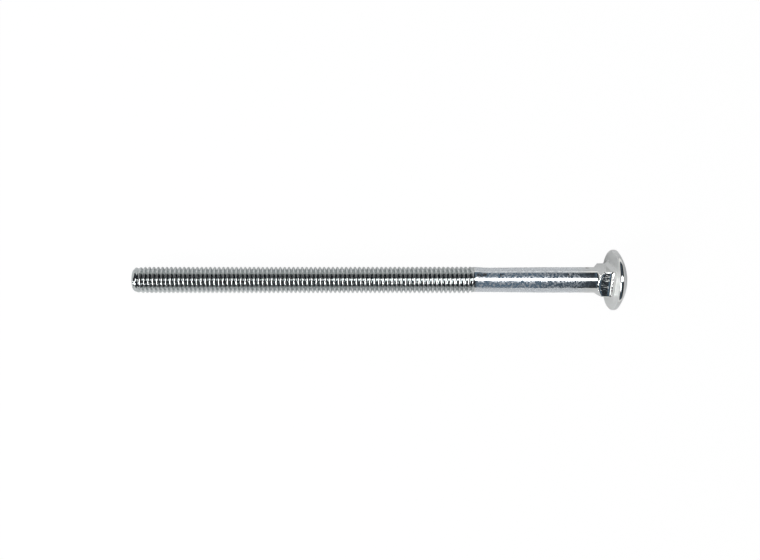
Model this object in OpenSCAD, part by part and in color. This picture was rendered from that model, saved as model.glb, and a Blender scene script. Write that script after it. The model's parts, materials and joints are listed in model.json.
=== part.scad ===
// Carriage bolt, 3/8 inch, 16 threads to the inch, 6 3/4 inches long under the head.
// Cold-headed and thread-rolled from one piece of wire: a domed round head with a
// thin rim, a square neck that stops it turning in timber, a plain shank and a
// coarse thread down to a chamfered tip. Millimetres, +Z up.
// The bolt lies as it comes to rest on a table, on the rim of its head and the
// first full crest of its thread, with the head toward +X.

/* [Head] */
// Diameter of the head across its rim
head_d = 21.6; // [18:0.1:26]
// Thickness of the rim under the dome
rim_t = 1.3; // [0.8:0.1:2]
// Radius on the lower corner of the rim
rim_r = 0.7; // [0.1:0.05:0.8]
// Rise of the dome over the rim
dome_h = 3.7; // [2:0.1:6]

/* [Square neck] */
// Width of the neck across its flats
neck_w = 9.5; // [9.1:0.05:10.5]
// Length of the neck, from the start of its lead-in to the head
neck_len = 6.1; // [4.5:0.1:10]
// Slope of the cone that leads out to the neck's corners, from the bolt's axis, in degrees
lead_angle = 50; // [40:1:60]
// Radius of the hollow between the shank and that cone
lead_foot_r = 1.0; // [0.5:0.1:1.5]
// Radius of the neck's four long corners
neck_corner_r = 0.5; // [0.2:0.1:1]
// Radius of the fillet from the neck's flats into the head
neck_fillet_r = 1.8; // [0.2:0.1:2.2]
// Turn of the neck about the bolt's axis as the bolt lies, in degrees
neck_turn = 21; // [0:1:45]

/* [Shank] */
// Length of the bolt under its head
bolt_len = 171.45; // [160:0.05:300]
// Diameter of the plain shank at the neck
shank_d = 9.05; // [8.8:0.05:9.2]
// Diameter that it is drawn down to where the thread ends
drawn_d = 8.65; // [8.2:0.05:8.8]
// Length of the taper between those two
drawn_len = 24; // [10:1:30]

/* [Thread] */
// Diameter over the crests
thread_d = 9.5; // [9.3:0.05:10]
// Distance from crest to crest
pitch = 1.5875; // [1.25:0.0125:2]
// Pitches from the tip to the plain shank
thread_turns = 77; // [10:1:80]
// Width of the flat on each crest
crest_w = 0.2; // [0.1:0.02:0.3]
// Depth from crest to root
thread_depth = 0.97; // [0.6:0.01:1]
// Half of the angle between two flanks
flank_angle = 30; // [25:1:31]
// Length of the bevel from the last root up to the shank
runout_len = 0.6; // [0.2:0.1:1.2]

/* [Tip] */
// Length and depth of the chamfer at the tip
tip_chamfer = 1.1; // [0.5:0.1:2]

/* [Hidden] */
smooth = 96;

head_r = head_d / 2;
shank_r = shank_d / 2;
drawn_r = drawn_d / 2;
thread_r = thread_d / 2;
root_r = thread_r - thread_depth;
flank_w = thread_depth * tan(flank_angle);
root_w = pitch - crest_w - 2 * flank_w;
thread_len = thread_turns * pitch;
drawn_start = thread_len + runout_len;

// The dome is part of a ball through the top edge of the rim.
dome_r = (head_r * head_r + dome_h * dome_h) / (2 * dome_h);
head_top = bolt_len + rim_t + dome_h;

neck_start = bolt_len - neck_len;
neck_core = neck_w / 2 - neck_corner_r;
neck_reach = neck_core * sqrt(2) + neck_corner_r;

// The hollow turns from the shank's line to the cone's, and the cone does the rest.
foot_rise = lead_foot_r * (1 - cos(lead_angle));
foot_len = lead_foot_r * sin(lead_angle);
cone_len = (neck_reach - shank_r - foot_rise) / tan(lead_angle);
neck_lead = foot_len + cone_len;

// The line that the bolt lies on touches the rounded corner of the rim and the
// tip side of the first crest that the chamfer leaves whole.
first_crest = ceil((tip_chamfer + crest_w / 2) / pitch - 0.5);
rest_u = (first_crest + 0.5) * pitch - crest_w / 2;
rim_u = bolt_len + rim_r - rest_u;
rim_rise = head_r - rim_r - thread_r;
tilt = atan2(rim_rise, rim_u) + asin(rim_r / norm([rim_rise, rim_u]));
lift = thread_r * cos(tilt) - rest_u * sin(tilt);

// Ends of the lying bolt along X, at the dome and at the tip's face.
dome_end = (head_top - dome_r) * cos(tilt) + dome_r;
tip_end = -(thread_r - tip_chamfer) * sin(tilt);
mid_x = (dome_end + tip_end) / 2;

// Half section of the thread, each pitch a root, a flank, a crest and a flank.
module thread_section() {
    rings = [for (i = [0 : thread_turns - 1])
        let (start = i * pitch + root_w / 2)
        each [
            [root_r, start],
            [thread_r, start + flank_w],
            [thread_r, start + flank_w + crest_w],
            [root_r, start + 2 * flank_w + crest_w],
        ]];
    intersection() {
        polygon(concat(
            [[0, 0], [root_r, 0]],
            rings,
            [[root_r, thread_len], [drawn_r, drawn_start], [0, drawn_start]]
        ));
        tip_section();
    }
}

// Everything inside the chamfer at the tip.
module tip_section() {
    polygon([
        [0, 0],
        [thread_r - tip_chamfer, 0],
        [thread_r, tip_chamfer],
        [thread_r, bolt_len],
        [0, bolt_len],
    ]);
}

// Half section of the plain shank, which tapers a little toward the thread.
module shank_section() {
    polygon([
        [0, drawn_start],
        [drawn_r, drawn_start],
        [shank_r, drawn_start + drawn_len],
        [shank_r, bolt_len + rim_t / 2],
        [0, bolt_len + rim_t / 2],
    ]);
}

// Half section of the head: a thin rim with a rounded lower corner, under a dome.
module head_section() {
    intersection() {
        translate([0, head_top - dome_r])
            circle(dome_r, $fn = 4 * smooth);
        union() {
            translate([0, bolt_len])
                square([head_r - rim_r, rim_t + dome_h]);
            translate([0, bolt_len + rim_r])
                square([head_r, rim_t + dome_h]);
            translate([head_r - rim_r, bolt_len + rim_r])
                circle(rim_r, $fn = smooth);
        }
    }
}

// Square with rounded corners, the neck's outline across the bolt.
module neck_outline() {
    square([neck_w, 2 * neck_core], center = true);
    square([2 * neck_core, neck_w], center = true);
    for (side_x = [-1, 1], side_y = [-1, 1])
        translate([side_x * neck_core, side_y * neck_core])
            circle(neck_corner_r, $fn = smooth);
}

// Half section of the lead-in: a hollow foot, then a cone out to the neck's corners.
module lead_section() {
    difference() {
        polygon([
            [0, neck_start],
            [shank_r, neck_start],
            [shank_r + foot_rise, neck_start + foot_len],
            [neck_reach, neck_start + neck_lead],
            [neck_reach, bolt_len + rim_t],
            [0, bolt_len + rim_t],
        ]);
        translate([shank_r + lead_foot_r, neck_start])
            circle(lead_foot_r, $fn = smooth);
    }
}

// The neck is a square bar whose lower end is cut to the lead-in, which leaves an
// arc on each flat.
module neck() {
    intersection() {
        translate([0, 0, neck_start])
            linear_extrude(neck_len + rim_t / 2)
                neck_outline();
        rotate_extrude($fn = smooth)
            lead_section();
    }
}

// Hollow quarter round that runs along the foot of the neck, seen across a flat.
module fillet_section() {
    difference() {
        translate([0, -rim_t / 2])
            square([neck_fillet_r, neck_fillet_r + rim_t / 2]);
        translate([neck_fillet_r, neck_fillet_r])
            circle(neck_fillet_r, $fn = smooth);
    }
}

// Fillet round the foot of the neck: straight along each flat, turned at each corner.
module neck_fillet() {
    for (side = [0 : 3])
        rotate(90 * side)
            translate([0, 0, bolt_len]) mirror([0, 0, 1]) {
                translate([neck_w / 2, neck_core, 0])
                    rotate([90, 0, 0])
                        linear_extrude(2 * neck_core)
                            fillet_section();
                translate([neck_core, neck_core, 0])
                    rotate_extrude(angle = 90, $fn = smooth)
                        translate([neck_corner_r, 0])
                            fillet_section();
            }
}

module upright_bolt() {
    rotate_extrude($fn = smooth) {
        thread_section();
        shank_section();
        head_section();
    }
    rotate(neck_turn) {
        neck();
        neck_fillet();
    }
}

module bolt() {
    color([0.74, 0.76, 0.79])
        translate([-mid_x, 0, lift])
            rotate([0, -tilt, 0])
                rotate([90, 0, 90])
                    upright_bolt();
}

bolt();
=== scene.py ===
# %% [markdown]
# # A long carriage bolt
# The object is one piece of zinc-plated steel: a domed head, a square neck, a plain
# shank and a long rolled thread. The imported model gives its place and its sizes, and
# this script gives it the true helical thread, the soft edges of a forged part and
# the look of bright plating.

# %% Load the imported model
import json
import math

import bmesh
import bpy
import numpy as np
from mathutils import Matrix, Vector


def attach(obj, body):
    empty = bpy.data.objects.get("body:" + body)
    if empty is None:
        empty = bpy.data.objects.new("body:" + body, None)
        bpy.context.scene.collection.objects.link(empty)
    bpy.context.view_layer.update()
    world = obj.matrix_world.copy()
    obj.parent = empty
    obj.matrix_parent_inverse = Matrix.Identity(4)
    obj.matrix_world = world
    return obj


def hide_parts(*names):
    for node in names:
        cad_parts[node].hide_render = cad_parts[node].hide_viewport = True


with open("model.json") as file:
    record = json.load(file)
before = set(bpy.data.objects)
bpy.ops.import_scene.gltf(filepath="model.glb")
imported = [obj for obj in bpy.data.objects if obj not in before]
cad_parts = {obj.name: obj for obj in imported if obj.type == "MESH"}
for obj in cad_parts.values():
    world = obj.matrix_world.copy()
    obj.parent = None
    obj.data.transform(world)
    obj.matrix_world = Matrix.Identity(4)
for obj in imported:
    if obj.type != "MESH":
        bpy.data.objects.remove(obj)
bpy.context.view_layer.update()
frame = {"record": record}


def rounded_points(points):
    """Points with few enough digits to print."""
    return [tuple(round(c, 5) for c in p) for p in points]


# %% [markdown]
# ## Where the bolt lies
# The bolt rests on the rim of its head and on its tip, so its axis climbs by two
# degrees toward the head. Two mounts of the record say where that axis is: the thread
# is a pin on it, and the head's seat is a plane square to it. Every shape below is
# made along a plain axis, with u as the distance from the tip, and is laid down at
# the end by one matrix.

# %% The bolt's own axes
BOLT_LENGTH = 0.17145

mounts = {m["name"]: m for m in frame["record"]["mounts"]}
toward_head = -Vector(mounts["thread"]["axis"]).normalized()
across = Vector((0.0, 1.0, 0.0))
upward = toward_head.cross(across)
on_axis = Vector(mounts["thread"]["pos_m"])
seat_distance = (Vector(mounts["head_seat"]["pos_m"]) - on_axis).dot(toward_head)
tip_place = on_axis + toward_head * (seat_distance - BOLT_LENGTH)
lay_down = Matrix((toward_head, across, upward)).transposed().to_4x4()
lay_down.translation = tip_place
tilt = math.asin(toward_head.z)
print("axis climbs by", round(math.degrees(tilt), 3), "degrees; tip at", rounded_points([tip_place]))

# %% [markdown]
# ## The camera
# The photograph looks straight down. Its view is not centred on the bolt: the
# underside of the head shows, so the lens stood over the thread, nearer the tip.
# A lens shift puts that point left of the picture's middle, as it is in the photograph.

# %% The camera over the thread
PICTURE_WIDTH_PX = 760
SENSOR_WIDTH = 36.0
LENS_DISTANCE_PX = 857.6
UNDER_LENS_PX = 307.2
UNDER_LENS_X = -0.0250
AXIS_ROW_OFFSET = 0.00003
CAMERA_HEIGHT = 0.3169
CLIP_RANGE = (0.01, 20.0)

camera_data = bpy.data.cameras.new("camera")
camera_data.sensor_width = SENSOR_WIDTH
camera_data.lens = LENS_DISTANCE_PX * SENSOR_WIDTH / PICTURE_WIDTH_PX
camera_data.shift_x = (PICTURE_WIDTH_PX / 2 - UNDER_LENS_PX) / PICTURE_WIDTH_PX
camera_data.clip_start, camera_data.clip_end = CLIP_RANGE
camera = bpy.data.objects.new("camera", camera_data)
camera.location = (UNDER_LENS_X, -AXIS_ROW_OFFSET, CAMERA_HEIGHT)
bpy.context.scene.collection.objects.link(camera)
bpy.context.scene.camera = camera
print("lens", round(camera_data.lens, 2), "mm, shift", round(camera_data.shift_x, 4))

# %% [markdown]
# ## Arithmetic on sockets
# Both the thread and the plating are formulas. Written as nodes by hand they would be
# pages of links, so one small class lets a socket stand in a Python expression, and
# one method makes any other node.

# %% Wire and Desk
class Wire:
    """An output socket that can be used in arithmetic. Each operation adds a Math node."""

    def __init__(self, desk, socket):
        self.desk = desk
        self.socket = socket

    def maths(self, operation, *values):
        return self.desk.node("ShaderNodeMath", {"operation": operation}, dict(enumerate(values)))

    def __add__(self, other):
        return self.maths("ADD", self, other)

    def __sub__(self, other):
        return self.maths("SUBTRACT", self, other)

    def __rsub__(self, other):
        return self.maths("SUBTRACT", other, self)

    def __mul__(self, other):
        return self.maths("MULTIPLY", self, other)

    def __truediv__(self, other):
        return self.maths("DIVIDE", self, other)

    def __rtruediv__(self, other):
        return self.maths("DIVIDE", other, self)

    def __mod__(self, other):
        return self.maths("FLOORED_MODULO", self, other)

    def __pow__(self, other):
        return self.maths("POWER", self, other)

    def __gt__(self, other):
        return self.maths("GREATER_THAN", self, other)

    def __abs__(self):
        return self.maths("ABSOLUTE", self)

    __radd__ = __add__
    __rmul__ = __mul__


class Desk:
    """Adds nodes to one tree: first the type, then its settings, then its sockets."""

    def __init__(self, tree):
        self.tree = tree

    def node(self, kind, settings=None, values=None, out=0):
        made = self.tree.nodes.new(kind)
        for name, value in (settings or {}).items():
            setattr(made, name, value)
        for name, value in (values or {}).items():
            if isinstance(value, Wire):
                self.tree.links.new(value.socket, made.inputs[name])
            else:
                made.inputs[name].default_value = value
        return Wire(self, made.outputs[out]) if made.outputs else None

    def fade(self, value, start, end, low=0.0, high=1.0):
        """A smooth step: low before start, high after end."""
        return self.node(
            "ShaderNodeMapRange",
            {"interpolation_type": "SMOOTHSTEP"},
            {"Value": value, "From Min": start, "From Max": end, "To Min": low, "To Max": high},
        )

    def mix(self, share, first, second):
        """A colour that goes from the first to the second as share goes from 0 to 1."""
        return self.node("ShaderNodeMix", {"data_type": "RGBA"}, {0: share, 6: first, 7: second}, out=2)

    def noise(self, place, scale, detail, roughness):
        return self.node(
            "ShaderNodeTexNoise",
            None,
            {"Vector": place, "Scale": scale, "Detail": detail, "Roughness": roughness},
        )

    def axes(self, vector):
        """The three numbers of a vector."""
        split = self.node("ShaderNodeSeparateXYZ", None, {0: vector}).socket.node
        return tuple(Wire(self, s) for s in split.outputs)


print("sockets now take part in arithmetic")

# %% [markdown]
# ## The thread
# A rolled thread is a ridge that winds round the bolt, one pitch for each turn. Its
# flanks stand 60 degrees apart, and the rolling leaves both its crest and its root
# round. It could be cut with a boolean or swept along a spiral, but both leave a poor
# mesh. Here a flat grid is rolled up instead: each row of the grid is one line along
# the ridge, each column is an angle, and a row climbs by one pitch on its way round,
# so that its end meets the start of the row twelve places on. Merging those gives one
# clean skin. It is a rule with few sizes, so Geometry Nodes make it.
#
# Crest and root are arcs that touch the flanks. With six rows on each arc the flanks
# need no rows of their own, and because the arcs touch the flanks, pitch, depth and
# the crest's radius together fix the root's radius.
#
# At the tip the chamfer cuts the ridge off, and the first turns are low and shallow
# because the wire is thinner there. The grid starts two turns before the tip, and
# what lies before it is drawn onto the edge of the tip's face, so the skin reaches
# that edge all the way round. At the other end the groove runs out into the shank,
# which stands a little proud on one side.

# %% Sizes of the thread and the shank
THREAD_RADIUS = mounts["thread"]["dims"]["r_mm"] / 1000
PITCH = 0.0015875
THREAD_DEPTH = 0.00097
CREST_ROUNDING = 0.00035
FLANK_ANGLE = 30
FLANK_TURN = 90 - FLANK_ANGLE
THREAD_END = 0.1228
RUNOUT = 0.0011
TIP_CHAMFER = 0.0011
FACETS = 88
ROWS = 12
DRAWN_RADIUS = 0.004325
SWELL = 0.00032
THREAD_PHASE = 0.65
TURNS_BEFORE = 2
MERGE_DISTANCE = 1e-6
ROOT_ROUNDING = PITCH * math.cos(math.radians(FLANK_ANGLE)) - THREAD_DEPTH - CREST_ROUNDING

# How much lower the first crests are, how deep their grooves are, and where the
# thread starts to take its full form, in chamfers, and has it, in pitches.
LOW_CREST = 0.00022
SHALLOW_SHARE = 0.25
FORMING_START = 0.8
FORMING_END = 2.6

print("crest and root radii", round(CREST_ROUNDING * 1000, 3), round(ROOT_ROUNDING * 1000, 3), "mm")

# %% A tree that rolls a grid into a thread
def thread_tree():
    tree = bpy.data.node_groups.new("rolled thread", "GeometryNodeTree")
    tree.interface.new_socket(name="Geometry", in_out="INPUT", socket_type="NodeSocketGeometry")
    sizes = {
        "Crest Radius": THREAD_RADIUS,
        "Depth": THREAD_DEPTH,
        "Pitch": PITCH,
        "Crest Rounding": CREST_ROUNDING,
        "Root Rounding": ROOT_ROUNDING,
        "Phase": THREAD_PHASE,
        "Chamfer": TIP_CHAMFER,
        "End": THREAD_END,
        "Run-out": RUNOUT,
        "Shank Radius": DRAWN_RADIUS,
        "Swell": SWELL,
    }
    for name in sizes:
        tree.interface.new_socket(name=name, in_out="INPUT", socket_type="NodeSocketFloat")
    for name in ("Turns", "Facets"):
        tree.interface.new_socket(name=name, in_out="INPUT", socket_type="NodeSocketInt")
    tree.interface.new_socket(name="Steel", in_out="INPUT", socket_type="NodeSocketMaterial")
    tree.interface.new_socket(name="Geometry", in_out="OUTPUT", socket_type="NodeSocketGeometry")
    desk = Desk(tree)
    given = tree.nodes.new("NodeGroupInput")
    wire = {s.name: Wire(desk, s) for s in given.outputs if s.name}

    # The grid, and which column and row each of its points belongs to.
    rows = (wire["Turns"] + (TURNS_BEFORE + 1)) * ROWS
    grid = desk.node(
        "GeometryNodeMeshGrid",
        None,
        {"Size X": 1.0, "Size Y": 1.0, "Vertices X": wire["Facets"] + 1, "Vertices Y": rows},
    )
    sideways, lengthways, _ = desk.axes(desk.node("GeometryNodeInputPosition"))
    column = (sideways + 0.5) * wire["Facets"]
    column = column.maths("ROUND", column)
    row = (lengthways + 0.5) * (rows - 1)
    row = row.maths("ROUND", row)
    part_turn = column / wire["Facets"]
    angle = part_turn * math.tau

    # The first half of a pitch's rows lie on the crest's arc, the others on the root's.
    place = row % ROWS
    turn = row.maths("FLOOR", row / ROWS) - TURNS_BEFORE
    root = place > ROWS / 2 - 0.5
    arc_step = place - (ROWS / 2 - 1) / 2 - root * (ROWS / 2)
    turned = arc_step * math.radians(2 * FLANK_TURN / (ROWS / 2 - 1))
    rounding = wire["Crest Rounding"] * (1 - root) + wire["Root Rounding"] * root
    offset = rounding * turned.maths("SINE", turned) + wire["Pitch"] / 2 * root
    hollow = rounding * (1 - turned.maths("COSINE", turned))
    drop = hollow + (wire["Depth"] - hollow * 2) * root
    along = wire["Pitch"] * (turn + part_turn + wire["Phase"]) + offset

    # The low first turns and the chamfer at the tip.
    along = along.maths("MAXIMUM", along, 0.0)
    formed = desk.fade(along, wire["Chamfer"] * FORMING_START, wire["Pitch"] * FORMING_END)
    crest = wire["Crest Radius"] - (1 - formed) * LOW_CREST
    radius = crest - drop * (SHALLOW_SHARE + formed * (1 - SHALLOW_SHARE))
    chamfer = wire["Crest Radius"] - wire["Chamfer"] + along
    radius = radius.maths("MINIMUM", radius, chamfer)

    # The run-out into the shank.
    along = along.maths("MINIMUM", along, wire["End"])
    proud = (along.maths("COSINE", angle) * 0.5 + 0.5) ** 2 * wire["Swell"]
    gone = desk.fade(along, wire["End"] - wire["Run-out"], wire["End"])
    radius = radius * (1 - gone) + (wire["Shank Radius"] + proud) * gone

    y = radius * angle.maths("COSINE", angle)
    z = radius * angle.maths("SINE", angle)
    spot = desk.node("ShaderNodeCombineXYZ", None, {0: along, 1: y, 2: z})
    rolled = desk.node("GeometryNodeSetPosition", None, {"Geometry": grid, "Position": spot})
    merged = desk.node(
        "GeometryNodeMergeByDistance", None, {"Geometry": rolled, "Distance": MERGE_DISTANCE}
    )
    real = desk.node("GeometryNodeRealizeInstances", None, {"Geometry": merged})
    painted = desk.node("GeometryNodeSetMaterial", None, {"Geometry": real, "Material": wire["Steel"]})
    result = tree.nodes.new("NodeGroupOutput")
    tree.links.new(painted.socket, result.inputs[0])
    sizes["Turns"] = math.ceil(THREAD_END / PITCH)
    sizes["Facets"] = FACETS
    return tree, sizes


def run_tree(tree, sizes, name):
    """Runs a Geometry Nodes tree on an empty mesh and returns the result as a plain mesh."""
    carrier = bpy.data.objects.new(name, bpy.data.meshes.new(name))
    bpy.context.scene.collection.objects.link(carrier)
    modifier = carrier.modifiers.new("nodes", "NODES")
    modifier.node_group = tree
    for item in tree.interface.items_tree:
        if item.name in sizes:
            modifier[item.identifier] = sizes[item.name]
    shown = carrier.evaluated_get(bpy.context.evaluated_depsgraph_get())
    mesh = bpy.data.meshes.new_from_object(shown)
    bpy.data.objects.remove(carrier)
    return mesh


steel = bpy.data.materials.new("zinc plated steel")
rolled_thread, thread_sizes = thread_tree()
thread_sizes["Steel"] = steel
thread_mesh = run_tree(rolled_thread, thread_sizes, "thread skin")
print("thread skin:", len(thread_mesh.vertices), "points,", len(thread_mesh.polygons), "faces")

# %% [markdown]
# ## The shank, the neck and the head
# The rest is also one skin, but its section changes: round on the shank, square on
# the neck, round again on the head. It is lofted through rings that all have as many
# points as the thread has facets, so the skins weld together. The rings' points crowd
# toward the neck's corners, where the surface turns fastest.
#
# The die that forms the neck leaves a hollow and then a cone between the round shank
# and the square. Where the cone runs into a flat it draws an arc. The rings bend to
# follow that arc, so the edge there is a true edge of the mesh, broken by a bevel.

# %% Sizes of the neck and the head
HEAD_RADIUS = 0.0108
RIM_THICKNESS = 0.0013
RIM_CORNER = 0.0007
DOME_HEIGHT = 0.0037
NECK_WIDTH = 0.0095
NECK_CORNER = 0.0005
NECK_FILLET = 0.0018
NECK_TURN = math.radians(21)
NECK_LENGTH = 0.0061
LEAD_ANGLE = math.radians(50)
LEAD_FOOT = 0.0010
SHANK_RADIUS = 0.004525
DRAWN_LENGTH = 0.024
EDGE_BREAK = 0.00018
RIM_BREAK = 0.00012

neck_core = NECK_WIDTH / 2 - NECK_CORNER
neck_reach = neck_core * math.sqrt(2) + NECK_CORNER
lead_start = BOLT_LENGTH - NECK_LENGTH
dome_radius = (HEAD_RADIUS**2 + DOME_HEIGHT**2) / (2 * DOME_HEIGHT)
head_top = BOLT_LENGTH + RIM_THICKNESS + DOME_HEIGHT
print("neck corners reach", round(neck_reach * 1000, 3), "mm")
print("dome radius", round(dome_radius * 1000, 2), "mm")

# %% Rings that change from round to square
CROWDING = 0.75

plain_angles = np.arange(FACETS) * math.tau / FACETS


def crowded(amount):
    """Angles of a ring's points, drawn toward the neck's corners by amount, from 0 to 1."""
    return plain_angles + amount * np.sin(4 * (plain_angles - NECK_TURN)) / 4


def square_reach(angles, grown=0.0):
    """Distance from the axis to the neck's outline, grown outward by some distance."""
    local = np.abs((angles - NECK_TURN + math.pi / 4) % (math.pi / 2) - math.pi / 4)
    corner = NECK_CORNER + grown
    flat = (neck_core + corner) / np.cos(local)
    middle = neck_core * (np.cos(local) + np.sin(local))
    offside = neck_core * (np.cos(local) - np.sin(local))
    rounded = middle + np.sqrt(np.maximum(corner**2 - offside**2, 0))
    return np.where(local < math.atan2(neck_core, neck_core + corner), flat, rounded)


def swell(angles):
    """Rise of the shank's proud side where the thread ends."""
    return SWELL * (0.5 + 0.5 * np.cos(angles)) ** 2


def ring(along, radius, angles):
    """One ring of points. Along and radius may be numbers or one value for each angle."""
    points = np.empty((FACETS, 3))
    points[:, 0] = along
    points[:, 1] = radius * np.cos(angles)
    points[:, 2] = radius * np.sin(angles)
    return points


outline = square_reach(crowded(CROWDING)) * 1000
print("neck outline from", round(outline.min(), 3), "to", round(outline.max(), 3), "mm")

# %% The shank's rings
SHANK_RINGS = 40
SWELL_LENGTH = 0.0022

rings = []
for step in range(SHANK_RINGS):
    part = step / SHANK_RINGS
    along = THREAD_END + part * (lead_start - THREAD_END)
    angles = crowded(CROWDING * part)
    drawn = max(0.0, 1 - (along - THREAD_END) / DRAWN_LENGTH)
    radius = SHANK_RADIUS - drawn * (SHANK_RADIUS - DRAWN_RADIUS)
    radius = radius + swell(angles) * math.exp(-(((along - THREAD_END) / SWELL_LENGTH) ** 2) / 2)
    rings.append(ring(along, radius, angles))
print("shank rings:", len(rings))

# %% The neck's rings
LEAD_RINGS = 14
FLAT_RINGS = 6
FILLET_RINGS = 8

angles = crowded(CROWDING)
flats = square_reach(angles)
foot_rise = LEAD_FOOT * (1 - math.cos(LEAD_ANGLE))
foot_length = LEAD_FOOT * math.sin(LEAD_ANGLE)


def lead(rise):
    """Distance from the tip at which the lead-in has risen so far over the shank."""
    turned = np.arccos(1 - np.minimum(rise, foot_rise) / LEAD_FOOT)
    on_cone = np.maximum(rise - foot_rise, 0) / math.tan(LEAD_ANGLE)
    return lead_start + LEAD_FOOT * np.sin(turned) + on_cone


climb = flats - SHANK_RADIUS
broken = climb - EDGE_BREAK * math.sin(LEAD_ANGLE)
for step in range(LEAD_RINGS + 1):
    rise = broken * (step / LEAD_RINGS) ** 2
    rings.append(ring(lead(rise), SHANK_RADIUS + rise, angles))
before_along = lead(broken)
edge_along = lead(climb)
after_along = edge_along + EDGE_BREAK

# One ring between the cone and the flats rounds the broken edge.
rings.append(ring((before_along + after_along + 2 * edge_along) / 4,
                  SHANK_RADIUS + (broken + 3 * climb) / 4, angles))
fillet_start = BOLT_LENGTH - NECK_FILLET
for step in range(FLAT_RINGS + 1):
    part = step / FLAT_RINGS
    rings.append(ring(after_along + part * (fillet_start - after_along), flats, angles))
for step in range(1, FILLET_RINGS + 1):
    turned = math.pi / 2 * step / FILLET_RINGS
    grown = NECK_FILLET * (1 - math.cos(turned))
    along = fillet_start + NECK_FILLET * math.sin(turned)
    rings.append(ring(along, square_reach(angles, grown), angles))
print("rings up to the head:", len(rings))

# %% The head's rings
UNDERSIDE_RINGS = 8
CORNER_RINGS = 6
DOME_RINGS = 26

foot = square_reach(angles, NECK_FILLET)
rim_start = HEAD_RADIUS - RIM_CORNER
for step in range(1, UNDERSIDE_RINGS + 1):
    part = step / UNDERSIDE_RINGS
    spread = crowded(CROWDING * (1 - part))
    rings.append(ring(BOLT_LENGTH, foot + part * (rim_start - foot), spread))
angles = plain_angles
for step in range(1, CORNER_RINGS + 1):
    turned = math.pi / 2 * step / CORNER_RINGS
    rings.append(ring(BOLT_LENGTH + RIM_CORNER * (1 - math.cos(turned)),
                      rim_start + RIM_CORNER * math.sin(turned), angles))
rings.append(ring(BOLT_LENGTH + RIM_THICKNESS - RIM_BREAK, HEAD_RADIUS, angles))
rim_angle = math.asin(HEAD_RADIUS / dome_radius)
dome_centre = head_top - dome_radius
for step in range(DOME_RINGS):
    turned = rim_angle * (1 - step / DOME_RINGS) - (RIM_BREAK / dome_radius if step == 0 else 0)
    along = dome_centre + dome_radius * math.cos(turned)
    rings.append(ring(along, dome_radius * math.sin(turned), angles))
print("rings in all:", len(rings))

# %% [markdown]
# ## One closed skin
# The thread's skin is open at both ends. The lofted rings close it over the head, and
# a slightly dished disc closes it at the tip. Doubles are merged, and the normals are
# turned outward before the mesh is laid down in its place.

# %% Weld the skins
TIP_RADIUS = THREAD_RADIUS - TIP_CHAMFER
TIP_DISH = 0.00012
TIP_RINGS = (0.9, 0.65, 0.35)
WELD_DISTANCE = 2e-6
FLAT_LIMIT = 1e-7


def loft(bm, stack, end):
    """Adds a skin through a stack of rings, closed over a last single point."""
    made = [[bm.verts.new(p) for p in points] for points in stack]
    for low, high in zip(made, made[1:]):
        for i in range(FACETS):
            j = (i + 1) % FACETS
            bm.faces.new((low[i], low[j], high[j], high[i]))
    apex = bm.verts.new(end)
    for i in range(FACETS):
        bm.faces.new((made[-1][i], made[-1][(i + 1) % FACETS], apex))


bm = bmesh.new()
bm.from_mesh(thread_mesh)
loft(bm, rings, (head_top, 0.0, 0.0))
tip_rings = [ring(0.0, TIP_RADIUS, plain_angles)]
for share in TIP_RINGS:
    tip_rings.append(ring(TIP_DISH * (1 - share**2), TIP_RADIUS * share, plain_angles))
loft(bm, tip_rings, (TIP_DISH, 0.0, 0.0))
bmesh.ops.remove_doubles(bm, verts=bm.verts, dist=WELD_DISTANCE)
bmesh.ops.dissolve_degenerate(bm, edges=bm.edges, dist=FLAT_LIMIT)
bmesh.ops.recalc_face_normals(bm, faces=bm.faces)
open_edges = sum(1 for e in bm.edges if len(e.link_faces) != 2)
triangles = sum(len(f.verts) - 2 for f in bm.faces)
bolt_mesh = bpy.data.meshes.new("carriage_bolt")
bm.to_mesh(bolt_mesh)
bm.free()
bolt_mesh.transform(lay_down)
bolt_mesh.polygons.foreach_set("use_smooth", np.ones(len(bolt_mesh.polygons), bool))
bolt_mesh.materials.clear()
bolt_mesh.materials.append(steel)
bolt = bpy.data.objects.new("carriage_bolt", bolt_mesh)
bpy.context.scene.collection.objects.link(bolt)
print("bolt:", triangles, "triangles,", open_edges, "open edges")

# %% [markdown]
# ## Zinc plating
# Bright zinc is a metal with a nearly neutral colour. On the drawn shank its gloss is
# uneven: the crystals of the plating scatter the light in spots. The thread, the neck
# and the head are smoothed by their dies, so they mirror more clearly. The crests are
# a little darker than the forged head, and the grooves get a still darker colour that
# grows with depth: painted shade in the grooves.
#
# The flats of the neck carry the die's fine ridges, which run along the bolt, and the
# underside of the head is rough where it was stamped. Two small dents and a few brown
# stains are marks of handling.
#
# A Mapping node turns Object coordinates into the bolt's own: x is then the distance
# from the tip, and the length of y and z is the distance from the axis.

# %% Colours of the plating
DRAWN_ZINC = (0.76, 0.79, 0.82, 1.0)
FORGED_ZINC = (0.80, 0.81, 0.80, 1.0)
ROLLED_ZINC = (0.66, 0.68, 0.68, 1.0)
# The groove colour is painted shade, which the thread's grooves get more fully the deeper they are.
PAINTED_GROOVE_SHADE = (0.55, 0.58, 0.58, 1.0)
STAIN = (0.07, 0.05, 0.035, 1.0)

# %% Where each kind of surface starts and ends
# Depth under the crests at which the painted shade in a groove starts, and is full.
PAINTED_SHADE_DEPTHS = (0.00008, 0.00025)

# Distances from the tip over which the plain shank and the head's underside fade.
PLAIN_START = (THREAD_END, THREAD_END + 0.001)
PLAIN_END = (lead_start - 0.009, lead_start)
SEAT_START = (BOLT_LENGTH - 0.0004, BOLT_LENGTH)
SEAT_END = (BOLT_LENGTH + 0.00005, BOLT_LENGTH + 0.0002)

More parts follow.
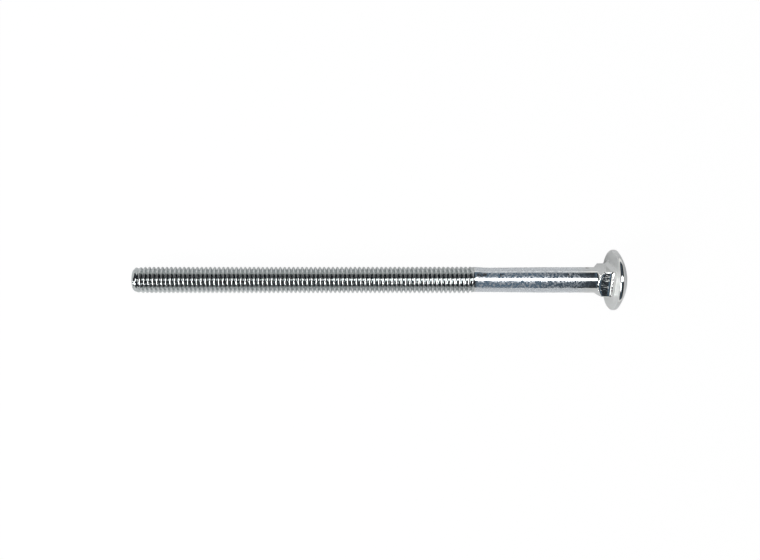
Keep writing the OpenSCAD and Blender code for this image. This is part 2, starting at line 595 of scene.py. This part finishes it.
# Each mark is a point in the bolt's own coordinates, and fades out round it.
DIMPLES = [(0.1323, 0.0017, 0.0042), (0.1560, 0.0017, 0.0042)]
DIMPLE_FADE = (0.0002, 0.0008)
STAINS = [
    (0.1628, 0.0043, 0.0014),
    (0.1240, 0.0017, 0.0040),
    (0.1252, 0.0015, 0.0041),
    (0.1264, 0.0018, 0.0040),
]
STAIN_FADE = (0.0003, 0.0010)
STAIN_SHARE = 0.85

# %% Gloss and relief of the plating
MOTTLE_SCALE = 1300.0
CLOUD_SCALE = 260.0
RIDGE_SCALE = 3600.0
RIDGE_STRETCH = 0.08

# Spots take these parts of the mottle's range, and lines this part of the ridges'.
SPOTS = (0.38, 0.64)
STAINED_SPOTS = (0.36, 0.5)
LINES = (0.62, 0.70)

POLISH = 0.10
METAL = 0.98
SPOT_ROUGHNESS = 0.30
SPOT_METAL_LOSS = 0.16
SEAT_ROUGHNESS = 0.2
SEAT_MOTTLE = 0.3
SEAT_METAL_LOSS = 0.3

# Heights in steps of RELIEF_STEP. The thread keeps one fifth of the mottled relief.
RELIEF_STEP = 0.00004
RELIEF_STRENGTH = 0.5
MOTTLE_HEIGHT = 0.5
CLOUD_HEIGHT = 0.6
THREAD_CALM = 0.8
LINE_HEIGHT = 1.4
DIMPLE_DEPTH = 7.0


# %% The plating
def marks(desk, place, spots, fades):
    """The sum of soft round marks: 1 within the first distance, 0 past the second."""
    total = 0.0
    for spot in spots:
        away = desk.node("ShaderNodeVectorMath", {"operation": "DISTANCE"}, {0: place, 1: spot}, out=1)
        total = total + desk.fade(away, *fades, 1.0, 0.0)
    return total


def plate(material):
    material.use_nodes = True
    tree = material.node_tree
    tree.nodes.clear()
    desk = Desk(tree)
    place = desk.node("ShaderNodeTexCoord", out=3)
    start = Matrix.Rotation(tilt, 3, "Y") @ tip_place
    own = desk.node(
        "ShaderNodeMapping",
        None,
        {"Vector": place, "Rotation": (0.0, tilt, 0.0), "Location": tuple(-start)},
    )
    u, y, z = desk.axes(own)
    reach = (y * y + z * z) ** 0.5

    # Which surface a point belongs to.
    threaded = 1 - (u > THREAD_END)
    # The grooves' mask paints shade: darker with depth under the crests.
    groove_shade_mask = desk.fade(THREAD_RADIUS - reach, *PAINTED_SHADE_DEPTHS) * threaded
    plain = desk.fade(u, *PLAIN_START) * (1 - desk.fade(u, *PLAIN_END))
    seat = desk.fade(u, *SEAT_START) * (1 - desk.fade(u, *SEAT_END))
    on_neck = (u > lead_start + foot_length) * (1 - (u > BOLT_LENGTH - NECK_FILLET))

    # The patterns.
    mottle = desk.noise(own, MOTTLE_SCALE, 2.0, 0.6)
    cloud = desk.noise(own, CLOUD_SCALE, 2.0, 0.5)
    spots = desk.fade(mottle, *SPOTS)
    long_way = desk.node("ShaderNodeMapping", None, {"Vector": own, "Scale": (RIDGE_STRETCH, 1.0, 1.0)})
    ridges = desk.noise(long_way, RIDGE_SCALE, 1.0, 0.5)
    die_lines = desk.fade(ridges, *LINES) * on_neck
    dimples = marks(desk, own, DIMPLES, DIMPLE_FADE)
    stains = marks(desk, own, STAINS, STAIN_FADE) * desk.fade(mottle, *STAINED_SPOTS)

    # What they do to colour, gloss and relief.
    # The grooves get the darker colour, which is painted shade.
    worked = desk.mix(groove_shade_mask, desk.mix(threaded, FORGED_ZINC, ROLLED_ZINC), PAINTED_GROOVE_SHADE)
    tint = desk.mix(stains * STAIN_SHARE, desk.mix(plain, worked, DRAWN_ZINC), STAIN)
    roughness = POLISH + plain * spots * SPOT_ROUGHNESS + seat * (SEAT_ROUGHNESS + mottle * SEAT_MOTTLE)
    metallic = METAL - plain * spots * SPOT_METAL_LOSS - seat * spots * SEAT_METAL_LOSS
    grain = (mottle * MOTTLE_HEIGHT + cloud * CLOUD_HEIGHT) * (1 - threaded * THREAD_CALM)
    height = grain + die_lines * LINE_HEIGHT - dimples * DIMPLE_DEPTH
    bump = desk.node(
        "ShaderNodeBump",
        None,
        {"Strength": RELIEF_STRENGTH, "Distance": RELIEF_STEP, "Height": height},
    )
    shader = desk.node(
        "ShaderNodeBsdfPrincipled",
        None,
        {"Base Color": tint, "Metallic": metallic, "Roughness": roughness, "Normal": bump},
    )
    desk.node("ShaderNodeOutputMaterial", None, {"Surface": shader})


plate(steel)
print("plating nodes:", len(steel.node_tree.nodes))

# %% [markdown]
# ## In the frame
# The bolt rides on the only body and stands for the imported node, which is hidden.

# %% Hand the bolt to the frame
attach(bolt, "root")
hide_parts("bolt")
print("handed over:", bolt.name)

# %% [markdown]
# ## Floor and light
# The bolt lies on white. The floor is plain diffuse white for the light and for the
# metal that mirrors it, and the camera sees most of it as a steady white, so that the
# shadow stays but is faint.
#
# A polished rod is a mirror, so its look is the room. Over the bolt hangs one long
# soft lamp, which draws the white line along the shank. A strip lamp stands beyond
# the tip and draws one white oval on each crest of the thread. A small lamp at the
# corner lights the fillet between the neck and the head.
#
# The room is dim and cool over the bolt and to its sides, dark toward its two ends,
# and pale again near the table.

# %% Floor
FLOOR_SIZE = 6.0
FLOOR_WHITE = (0.8, 0.8, 0.8, 1.0)
FLOOR_LIT = 0.62
STEADY_SHARE = 0.96
STEADY_RADII = (0.12, 0.4)


def paint_floor(material):
    material.use_nodes = True
    tree = material.node_tree
    tree.nodes.clear()
    desk = Desk(tree)
    place = desk.node("ShaderNodeTexCoord", out=3)
    away = desk.node("ShaderNodeVectorMath", {"operation": "LENGTH"}, {0: place}, out=1)
    share = desk.fade(away, *STEADY_RADII, STEADY_SHARE, 1.0)
    white = (1 - (1 - share) * FLOOR_LIT) / share
    camera_ray = desk.node("ShaderNodeLightPath", out=0)
    lit = desk.node("ShaderNodeBsdfDiffuse", None, {"Color": FLOOR_WHITE})
    steady = desk.node("ShaderNodeEmission", None, {"Color": white})
    mixed = desk.node("ShaderNodeMixShader", None, {0: camera_ray * share, 1: lit, 2: steady})
    desk.node("ShaderNodeOutputMaterial", None, {"Surface": mixed})


half = FLOOR_SIZE / 2
floor_corners = [(-half, -half, 0), (half, -half, 0), (half, half, 0), (-half, half, 0)]
floor_mesh = bpy.data.meshes.new("floor")
floor_mesh.from_pydata(floor_corners, [], [(0, 1, 2, 3)])
floor = bpy.data.objects.new("floor", floor_mesh)
bpy.context.scene.collection.objects.link(floor)
floor_paint = bpy.data.materials.new("white table")
paint_floor(floor_paint)
floor_mesh.materials.append(floor_paint)
print("floor:", FLOOR_SIZE, "m wide")

# %% Lamps
MIDDLE = (-0.03, 0.0, 0.0)

# Name, place, aim, direction of the first side, the two sides, radiance.
LAMPS = [
    ("lamp overhead", (0.165, 0.04, 0.70), (0.165, 0.04, 0.0),
     (1, 0, 0), (0.57, 0.22), 5.5),
    ("lamp beyond the tip", (-0.42, -0.22, 0.342), MIDDLE,
     (0.125, -0.896, -0.427), (0.26, 0.12), 22.0),
    ("lamp at the corner", (-0.261, -0.487, 0.535), MIDDLE,
     (1, 0, 0), (0.14, 0.14), 2.8),
]


def soft_lamp(name, place, aim, along, size, radiance):
    """A rectangle of light. Along is the direction of its first side."""
    data = bpy.data.lights.new(name, "AREA")
    data.shape = "RECTANGLE"
    data.size, data.size_y = size
    data.energy = radiance * math.pi * size[0] * size[1]
    lamp = bpy.data.objects.new(name, data)
    back = (Vector(place) - Vector(aim)).normalized()
    side = back.cross(Vector(along)).normalized()
    lamp.matrix_world = Matrix((side.cross(back), side, back)).transposed().to_4x4()
    lamp.location = place
    lamp.visible_camera = False
    bpy.context.scene.collection.objects.link(lamp)


for lamp in LAMPS:
    soft_lamp(*lamp)
print("lamps:", len(LAMPS))

# %% Room
PALE = (0.87, 0.865, 0.85, 1.0)
COOL = (0.10, 0.155, 0.21, 1.0)
DARK = (0.01, 0.011, 0.014, 1.0)
WHITE = (1.0, 1.0, 1.0, 1.0)

# The cool part's middle, as the x of a direction, and how far from it that part fades.
COOL_MIDDLE = 0.10
COOL_FADE = (0.07, 0.165)

# The height of the pale part's edge, as the z of a direction, rises with its y.
EDGE_SIDES = (-0.4, 0.4)
EDGE_HEIGHTS = (0.14, 0.30)
EDGE_FADE = (-0.04, 0.06)


def light_room(world):
    world.use_nodes = True
    tree = world.node_tree
    tree.nodes.clear()
    desk = Desk(tree)
    x, y, z = desk.axes(desk.node("ShaderNodeTexCoord", out=0))
    beside = 1 - desk.fade(abs(x - COOL_MIDDLE), *COOL_FADE)
    edge = desk.fade(y, *EDGE_SIDES, *EDGE_HEIGHTS)
    above = desk.fade(z - edge, *EDGE_FADE)
    room = desk.mix(above, PALE, desk.mix(beside, DARK, COOL))
    camera_ray = desk.node("ShaderNodeLightPath", out=0)
    background = desk.node("ShaderNodeBackground", None, {"Color": desk.mix(camera_ray, room, WHITE)})
    desk.node("ShaderNodeOutputWorld", None, {"Surface": background})


world = bpy.data.worlds.new("studio")
bpy.context.scene.world = world
light_room(world)
bpy.context.scene.view_settings.view_transform = "Standard"
print("room nodes:", len(world.node_tree.nodes))
